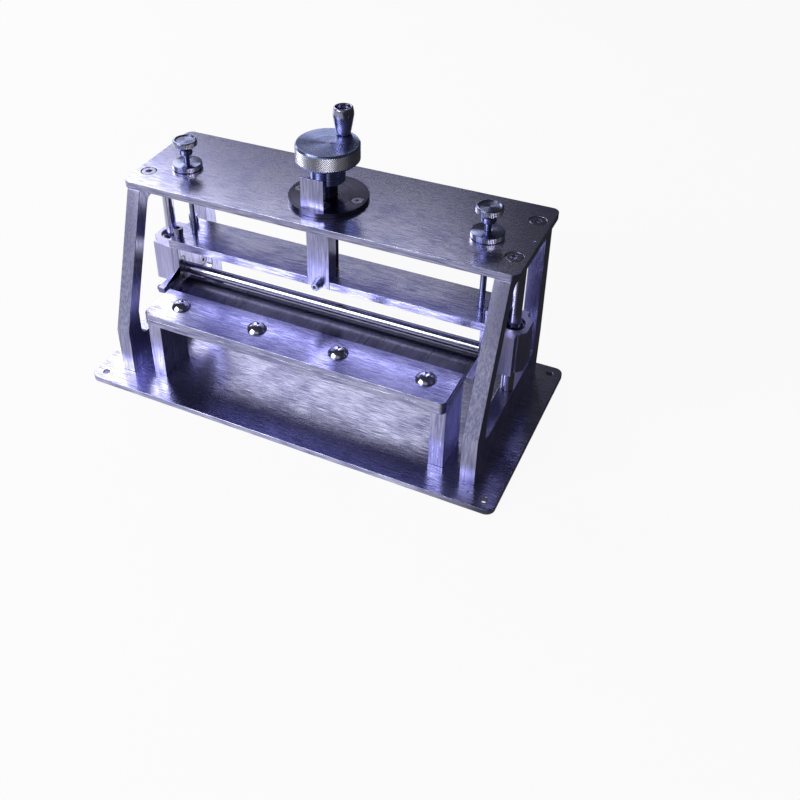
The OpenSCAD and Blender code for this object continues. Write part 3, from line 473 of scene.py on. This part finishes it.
def diamond_tree():
    """Rows of pyramids round the z axis."""
    tree, given, end = new_tree("diamond_knurl", Count="Int", Rows="Int", Radius="Float", Bottom="Float",
                                Depth="Float", Place="Vector", Material="Material")
    total = add_node(tree, MATH, TIMES, i0=given["Count"], i1=given["Rows"])
    points = add_node(tree, "GeometryNodePoints", Count=total)
    index = add_node(tree, "GeometryNodeInputIndex")
    middle = add_node(tree, MATH, PLUS, i0=index, i1=0.5)
    rows_before = add_node(tree, MATH, OVER, i0=middle, i1=given["Count"])
    row = add_node(tree, MATH, {"operation": "FLOOR"}, i0=rows_before)
    odd = add_node(tree, MATH, {"operation": "MODULO"}, i0=row, i1=2.0)
    number = add_node(tree, MATH, TIMES_PLUS, i0=odd, i1=0.5, i2=index)
    step = add_node(tree, MATH, OVER, i0=2 * math.pi, i1=given["Count"])
    turn = add_node(tree, MATH, TIMES, i0=number, i1=step)
    width = add_node(tree, MATH, TIMES, i0=step, i1=given["Radius"])
    half = add_node(tree, MATH, TIMES, i0=width, i1=0.5)
    height = add_node(tree, MATH, TIMES_PLUS, i0=row, i1=half, i2=given["Bottom"])
    cosine = add_node(tree, MATH, {"operation": "COSINE"}, i0=turn)
    sine = add_node(tree, MATH, {"operation": "SINE"}, i0=turn)
    x = add_node(tree, MATH, TIMES, i0=cosine, i1=given["Radius"])
    y = add_node(tree, MATH, TIMES, i0=sine, i1=given["Radius"])
    at = add_node(tree, "ShaderNodeCombineXYZ", X=x, Y=y, Z=height)
    at = add_node(tree, VECTOR, PLUS, i0=at, i1=given["Place"])
    moved = add_node(tree, "GeometryNodeSetPosition", Geometry=points, Position=at)
    pyramid = add_node(tree, "GeometryNodeMeshCone", {"fill_type": "NONE"}, Vertices=4, Radius_Top=0.0,
                       Radius_Bottom=half, Depth=given["Depth"])
    here = add_node(tree, "ShaderNodeSeparateXYZ", Vector=add_node(tree, "GeometryNodeInputPosition"))
    crest = add_node(tree, MATH, OVER, i0=here.outputs["Z"], i1=given["Depth"])
    marked = add_node(tree, STORE, ON_POINTS, Geometry=pyramid, Name="crest", Value=crest)
    facing = add_node(tree, "ShaderNodeCombineXYZ", X=0.0, Y=math.pi / 2, Z=turn)
    end(add_node(tree, "GeometryNodeInstanceOnPoints", Points=moved, Instance=marked, Rotation=facing))
    return tree

DIAMOND = diamond_tree()

# %% [markdown]
# The straight knurl of the knobs and the lock nuts is simpler: upright ridges. A ring with
# twice as many upright lines as ridges does it, once every second line is pushed in. It is
# one closed band, so the light runs round it without a break.

# %% Straight knurl
def ridge_tree():
    """A ring round the z axis whose every second vertical line lies deeper."""
    tree, given, end = new_tree("straight_knurl", Count="Int", Radius="Float", Height="Float",
                                Depth="Float", Place="Vector", Material="Material")
    lines = add_node(tree, MATH, TIMES, i0=given["Count"], i1=2.0)
    ring = add_node(tree, "GeometryNodeMeshCylinder", {"fill_type": "NONE"}, Vertices=lines,
                    Radius=given["Radius"], Depth=given["Height"])
    index = add_node(tree, "GeometryNodeInputIndex")
    odd = add_node(tree, MATH, {"operation": "MODULO"}, i0=index, i1=2.0)
    deeper = add_node(tree, MATH, TIMES, i0=odd, i1=given["Depth"])
    loss = add_node(tree, MATH, OVER, i0=deeper, i1=given["Radius"])
    share = add_node(tree, MATH, LESS, i0=1.0, i1=loss)
    inwards = add_node(tree, "ShaderNodeCombineXYZ", X=share, Y=share, Z=1.0)
    pushed = add_node(tree, VECTOR, TIMES, i0=add_node(tree, "GeometryNodeInputPosition"), i1=inwards)
    at = add_node(tree, VECTOR, PLUS, i0=pushed, i1=given["Place"])
    crest = add_node(tree, MATH, LESS, i0=1.0, i1=odd)
    marked = add_node(tree, STORE, ON_POINTS, Geometry=ring, Name="crest", Value=crest)
    end(add_node(tree, "GeometryNodeSetPosition", Geometry=marked, Position=at))
    return tree

RIDGES = ridge_tree()

# %% [markdown]
# A thread is one line that climbs round the screw and carries its profile with it. The
# profile is a small square that stands on its corner, half sunk in the screw's core, so the
# corner that shows is the thread's crest.

# %% Screw thread
def thread_tree():
    """A climbing line round the z axis with a small square profile that stands on its corner."""
    tree, given, end = new_tree("screw_thread", Turns="Float", Height="Float", Radius="Float",
                                Depth="Float", Place="Vector", Material="Material")
    line = add_node(tree, "GeometryNodeCurveSpiral", Resolution=32, Rotations=given["Turns"],
                    Start_Radius=given["Radius"], End_Radius=given["Radius"], Height=given["Height"])
    upright = add_node(tree, "GeometryNodeSetCurveNormal", {"mode": "Z_UP"}, Curve=line)
    square = add_node(tree, "GeometryNodeCurvePrimitiveCircle", Resolution=4, Radius=given["Depth"])
    swept = add_node(tree, "GeometryNodeCurveToMesh", Curve=upright, Profile_Curve=square)
    end(add_node(tree, "GeometryNodeSetPosition", Geometry=swept, Offset=given["Place"]))
    return tree

THREAD = thread_tree()

# %% [markdown]
# A tree needs an object to work on. The object starts with an empty mesh; the modifier's
# values are set before anything looks at the result, and the result is kept as plain mesh.

# %% Growing a mesh from a tree
def grown(name, tree, body, **values):
    """A mesh object made by a node tree, riding on a body of the frame."""
    obj = bpy.data.objects.new(name, bpy.data.meshes.new(name))
    scene.collection.objects.link(obj)
    maker = obj.modifiers.new("maker", "NODES")
    maker.node_group = tree
    for item in tree.interface.items_tree:
        if item.in_out == "INPUT":
            maker[item.identifier] = values[item.name]
    obj.update_tag()
    baked(obj)
    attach(obj, body)
    print(f"{name}: {len(obj.data.vertices)} points, {len(obj.data.polygons)} faces")
    return obj

def on_axis(axis, height):
    """The point in metres on a vertical axis, from millimetres."""
    return (axis[0] * MM, axis[1] * MM, height * MM)

# %% [markdown]
# ### The handwheel
# A disc with a hub under it, turned in one piece. The face is slightly hollow, so it
# mirrors the light as two opposite fans. The knurl stops at a smooth turned chamfer on
# each side, because the knurling wheel is narrower than the rim.

# %% Handwheel
low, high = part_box("handwheel")
WHEEL_R, WHEEL_T, CHAMFER, DISH, HUB_R = 20.5, 11.8, 1.0, 0.8, 11.0
BORE_R, KNURL_DEPTH = 5.1, 0.4
KNURL_COUNT = 88
wheel_top = high.z / MM
wheel_low = wheel_top - WHEEL_T
hub_low = low.z / MM
core = WHEEL_R - KNURL_DEPTH
hub_profile = [(BORE_R, hub_low), (HUB_R - 0.4, hub_low), (HUB_R, hub_low + 0.4),
               (HUB_R, wheel_low - 0.4), (HUB_R + 0.4, wheel_low)]
rim_profile = [(WHEEL_R - CHAMFER, wheel_low), (WHEEL_R - 0.1, wheel_low + CHAMFER - 0.1),
               (core, wheel_low + CHAMFER), (core, wheel_top - CHAMFER),
               (WHEEL_R - 0.1, wheel_top - CHAMFER + 0.1), (WHEEL_R - CHAMFER + 0.1, wheel_top - 0.05)]
face_profile = [(WHEEL_R - CHAMFER - 0.15, wheel_top - 0.02), (WHEEL_R - CHAMFER - 0.4, wheel_top - 0.06),
                (0, wheel_top - DISH)]
wheel = lathe("handwheel_body", hub_profile + rim_profile + face_profile, WHEEL_AXIS, steps=128)
wheel.data.materials.append(turned["wheel"])
placed(wheel, "handwheel")
print(f"handwheel: {2 * WHEEL_R} mm wide, {WHEEL_T} mm thick")

# %% [markdown]
# The knurl covers the rim between the chamfers. Its rows are half as far apart as its
# pyramids, because the rows reach into each other.

# %% Handwheel's knurl
row_step = math.pi * core / KNURL_COUNT
knurl_rows = int((WHEEL_T - 2 * CHAMFER) / row_step) - 1
grown("handwheel_knurl", DIAMOND, "handwheel", Count=KNURL_COUNT, Rows=knurl_rows, Radius=core * MM,
      Depth=KNURL_DEPTH * MM, Bottom=(wheel_low + CHAMFER + row_step) * MM,
      Place=on_axis(WHEEL_AXIS, 0), Material=finish["knurled_steel"])
print(f"knurl: {KNURL_COUNT} x {knurl_rows} pyramids, {2 * row_step:.2f} mm apart")

# %% [markdown]
# ### The spindle
# The lift spindle is a fine-pitch screw: one turn lifts the beam by one millimetre. The
# smooth core is turned, and the thread climbs round it from the beam to the hub.

# %% Spindle with its thread
low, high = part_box("lift_spindle")
THREAD_R, THREAD_DEPTH, PITCH = 6.0, 0.32, 1.0
JOURNAL_R, SHANK_R = 3.95, 4.9    # the smooth foot in the thrust washer, and the top in the wheel's bore
thread_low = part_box("spindle_thrust_washer")[1].z / MM + 0.5
thread_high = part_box("handwheel")[0].z / MM - 0.3
core = THREAD_R - 2 * THREAD_DEPTH + 0.06
foot, top = low.z / MM, high.z / MM
spindle = lathe("lift_spindle_core", [
    (0, foot), (JOURNAL_R - 0.35, foot), (JOURNAL_R, foot + 0.4), (JOURNAL_R, thread_low - 0.6),
    (core, thread_low - 0.6), (core, thread_high), (SHANK_R, thread_high + 0.4), (SHANK_R, top), (0, top)],
    WHEEL_AXIS, steps=64)
spindle.data.materials.append(turned["wheel"])
placed(spindle, "lift_spindle")
climb = thread_high - thread_low
grown("lift_spindle_thread", THREAD, "handwheel", Turns=climb / PITCH, Height=climb * MM,
      Radius=(THREAD_R - THREAD_DEPTH) * MM, Depth=THREAD_DEPTH * MM,
      Place=on_axis(WHEEL_AXIS, thread_low), Material=finish["oiled_steel"])
print(f"thread: {climb / PITCH:.0f} turns")

# %% [markdown]
# ### The crank handle
# A small polished knob that spins on its pin. It tapers almost straight from its foot to
# its widest line, two thirds up, then draws in a little to a rounded rim round a deep cup,
# and the pin's head lies in the cup. A lathe makes it, so here too a profile does.

# %% Crank handle
low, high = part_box("crank_handle")
CRANK_AXIS = ((low.x + high.x) / 2 / MM, (low.y + high.y) / 2 / MM)
base, top = low.z / MM, high.z / MM
FOOT_R, BELLY_R, TOP_R, BELLY_H, CUP_R, CUP_H = 4.65, 6.8, 6.3, 12.4, 4.7, 6.0
PIN_HOLE_R, CROWN_R = 2.6, 1.1
foot_profile = [(PIN_HOLE_R, base), (FOOT_R - 0.4, base), (FOOT_R, base + 0.4)]
side_profile = [(FOOT_R + (BELLY_R - FOOT_R) * t ** 0.9, base + 0.4 + (BELLY_H - 0.4) * t)
                for t in (i / 11 for i in range(1, 12))]
shoulder_profile = [(BELLY_R - 0.05, base + BELLY_H + 1.6), (TOP_R + 0.25, top - 2.2)]
crown_profile = [(TOP_R - CROWN_R + CROWN_R * math.cos(a), top - CROWN_R + CROWN_R * math.sin(a))
                 for a in (math.radians(6 + 14 * i) for i in range(7))]
cup_profile = [(CUP_R + 0.3, top - 0.1), (CUP_R, top - 0.5), (CUP_R, top - CUP_H), (PIN_HOLE_R, top - CUP_H)]
handle = lathe("crank_handle_body",
               foot_profile + side_profile + shoulder_profile + crown_profile + cup_profile, CRANK_AXIS)
handle.data.materials.append(finish["handle_steel"])
placed(handle, "crank_handle")
print(f"crank handle {2 * FOOT_R} mm wide at its foot, {2 * BELLY_R} mm at its widest")

# %% [markdown]
# ### Clamping knobs and lock nuts
# The two rods carry a knurled head: a flat disc with a hollow top, a short cone under it,
# and a neck. Rod and head are turned in one piece, so one profile makes both, and a ring
# with the straight knurl is laid round the head. The lock nuts on the top plate are plain
# knurled discs with a chamfer on both sides. Left and right are alike, so one loop makes
# them, and the lines of the knurl are one millimetre apart on both.

# %% Clamping knobs and lock nuts
KNOB_R, KNOB_T, NECK_R, NECK_H, CONE_H, ROD_R, RIDGE = 8.25, 4.2, 4.5, 4.0, 2.4, 2.0, 0.22
NUT_R, NUT_T = 10.25, 4.0
KNOB_RIDGES, NUT_RIDGES = 52, 64

for side, axis in ROD_AXES.items():
    low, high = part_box("clamping_rod_" + side)
    top, foot = high.z / MM, low.z / MM
    rim, neck, core = top - KNOB_T, top - KNOB_T - CONE_H, KNOB_R - RIDGE
    rod_profile = [(0, foot), (ROD_R - 0.2, foot), (ROD_R, foot + 0.2), (ROD_R, neck - NECK_H - 0.3)]
    neck_profile = [(NECK_R - 0.6, neck - NECK_H), (NECK_R - 0.15, neck - NECK_H + 0.2),
                    (NECK_R, neck - NECK_H + 0.6), (NECK_R, neck - 0.4), (NECK_R + 0.5, neck)]
    head_profile = [(core - 0.5, rim), (core, rim + 0.5), (core, top - 0.55), (core - 0.2, top - 0.2),
                    (core - 0.6, top), (core - 1.2, top), (core - 2.0, top - 0.75), (0, top - 0.8)]
    rod = lathe("clamping_rod_body_" + side, rod_profile + neck_profile + head_profile, axis)
    rod.data.materials.append(turned[side])
    placed(rod, "clamping_rod_" + side)
    grown("clamping_knob_knurl_" + side, RIDGES, body_of_node["clamping_rod_" + side], Count=KNOB_RIDGES,
          Radius=KNOB_R * MM, Height=(KNOB_T - 1.1) * MM, Depth=2 * RIDGE * MM,
          Place=on_axis(axis, rim + KNOB_T / 2), Material=finish["knurled_steel"])

    low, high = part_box("lock_nut_" + side)
    bottom, top, core = low.z / MM, high.z / MM, NUT_R - RIDGE
    nut = lathe("lock_nut_body_" + side, [
        (ROD_R + 0.05, bottom), (core - 0.5, bottom), (core, bottom + 0.5), (core, top - 0.5),
        (core - 0.15, top - 0.15), (core - 0.5, top), (ROD_R + 0.5, top), (ROD_R + 0.05, top - 0.4)], axis)
    nut.data.materials.append(turned[side])
    placed(nut, "lock_nut_" + side)
    grown("lock_nut_knurl_" + side, RIDGES, body_of_node["lock_nut_" + side], Count=NUT_RIDGES,
          Radius=NUT_R * MM, Height=(NUT_T - 1.0) * MM, Depth=2 * RIDGE * MM,
          Place=on_axis(axis, (bottom + top) / 2), Material=finish["knurled_steel"])
print("shown nodes:", sorted(n for n, o in frame["nodes"].items() if not o.hide_render))

# %% [markdown]
# ## The floor
# Bare steel shows what stands round it more than it shows itself, so what it mirrors
# matters most. To the eye the floor is pale everywhere. What the steel mirrors of it is a
# painted reflection: to mirrored rays the floor glows, dimmer in front of the machine and
# brighter behind it, and just to its right it is painted almost black. That painted dark
# is why the faces that look to the right are almost black.

# %% Floor
PAINTED_REFLECTION_GLOW = (0.6, 1.3)       # how bright the painted reflection of the floor glows, in front of the machine and behind it
PAINTED_GLOW_DEPTH = (-0.15, 0.1)    # metres from front to back between which the glow rises
PAINTED_DARK_EDGE = (0.06, 0.15)     # metres to the right over which the painted reflection fades to dark
EDGE_SLANT = 0.2              # the edge of the painted dark runs a little to the left towards the back
# how bright the painted dark reflection to the right of the machine glows
PAINTED_DARK_REFLECTION = 0.03
SEEN_WHITE = 0.93             # the share of plain white in what the camera sees of the floor
FLOOR_HALF = 3.0

def floor_material():
    """Pale to the camera and shaded by lamps; to mirrored rays it glows as a painted reflection that is painted
    dark on the right.
    """
    material, tree, out = new_material("pale_floor")
    path = add_node(tree, "ShaderNodeLightPath")
    lit = add_node(tree, "ShaderNodeBsdfDiffuse", Color=linear("#f4f4f4"))
    white = add_node(tree, "ShaderNodeEmission", Color=linear("#ffffff"), Strength=1.0)
    share = add_node(tree, MATH, TIMES, i0=path.outputs["Is Camera Ray"], i1=SEEN_WHITE)
    seen = add_node(tree, "ShaderNodeMixShader", i0=share, i1=lit, i2=white)
    place = add_node(tree, "ShaderNodeTexCoord").outputs["Object"]
    at = add_node(tree, "ShaderNodeSeparateXYZ", Vector=place)
    right = add_node(tree, MATH, TIMES_PLUS, i0=at.outputs["Y"], i1=EDGE_SLANT, i2=at.outputs["X"])
    glow = add_node(tree, "ShaderNodeMapRange", Value=at.outputs["Y"], From_Min=PAINTED_GLOW_DEPTH[0],
                    From_Max=PAINTED_GLOW_DEPTH[1], To_Min=PAINTED_REFLECTION_GLOW[0], To_Max=PAINTED_REFLECTION_GLOW[1])
    fade = add_node(tree, "ShaderNodeMapRange", {"interpolation_type": "SMOOTHSTEP"}, Value=right,
                    From_Min=PAINTED_DARK_EDGE[0], From_Max=PAINTED_DARK_EDGE[1], To_Min=glow, To_Max=PAINTED_DARK_REFLECTION)
    # painted reflection: what steel mirrors of the floor glows, and to the right it is painted dark
    painted_reflection = add_node(tree, "ShaderNodeEmission", Color=linear("#ffffff"), Strength=fade)
    mix = add_node(tree, "ShaderNodeMixShader", i0=path.outputs["Is Glossy Ray"], i1=seen, i2=painted_reflection)
    tree.links.new(mix.outputs[0], out.inputs["Surface"])
    return material

mesh = bpy.data.meshes.new("floor")
corners = [(x * FLOOR_HALF, y * FLOOR_HALF, 0) for x, y in ((-1, -1), (1, -1), (1, 1), (-1, 1))]
mesh.from_pydata(corners, [], [(0, 1, 2, 3)])
mesh.materials.append(floor_material())
floor = bpy.data.objects.new("floor", mesh)
scene.collection.objects.link(floor)
print(f"floor {2 * FLOOR_HALF:.0f} m wide")

# %% [markdown]
# ## The world and the lamps
# The room is almost black to the steel and white to the eye. Four large soft boxes light
# the machine. Two stand behind it on the left, and draw the light that runs along the top
# faces and fades to the right. One in front on the left lights the rims and the left
# sides, and a wide weak one in front fills the faces that look that way.

# %% World
ROOM_GLOW = 0.045
world = bpy.data.worlds.new("studio")
world.use_nodes = True
scene.world = world
tree = world.node_tree
tree.nodes.clear()
path = add_node(tree, "ShaderNodeLightPath")
dim = add_node(tree, "ShaderNodeBackground", Color=linear("#ffffff"), Strength=ROOM_GLOW)
white = add_node(tree, "ShaderNodeBackground", Color=linear("#ffffff"), Strength=1.0)
mix = add_node(tree, "ShaderNodeMixShader", i0=path.outputs["Is Camera Ray"], i1=dim, i2=white)
add_node(tree, "ShaderNodeOutputWorld", Surface=mix)
print(f"room: {ROOM_GLOW} to the steel, 1 to the eye")

# %% [markdown]
# A soft box is an area lamp. Its size in metres sets how soft its edge looks in the steel,
# and its power is spread over that size, so a larger box with the same power is dimmer.

# %% Lamps
def soft_box(name, place, target, size, watts):
    """A rectangular area lamp at place that faces target."""
    data = bpy.data.lights.new(name, "AREA")
    data.shape = "RECTANGLE"
    data.size, data.size_y = size
    data.energy = watts
    lamp = bpy.data.objects.new(name, data)
    lamp.location = place
    lamp.rotation_euler = (Vector(target) - Vector(place)).to_track_quat("-Z", "Y").to_euler()
    scene.collection.objects.link(lamp)

soft_box("rear_left_box", (-1.1, 0.65, 0.85), (0, 0, 0.1), (0.8, 1.1), 6)
soft_box("rear_box", (-0.56, 0.8, 0.95), (-0.56, 0, 0.95), (0.78, 0.48), 1.8)
soft_box("front_left_box", (-0.72, -1.05, 0.8), (0, 0, 0.08), (1.0, 0.8), 14)
soft_box("front_fill", (0.1, -1.7, 1.1), (0, 0, 0.1), (2.4, 1.2), 3)
scene.view_settings.view_transform = "Standard"

# %% [markdown]
# ## Finish
# The number of the frame's pieces is printed.

# %% Finish
print("pieces", len(frame["nodes"]))
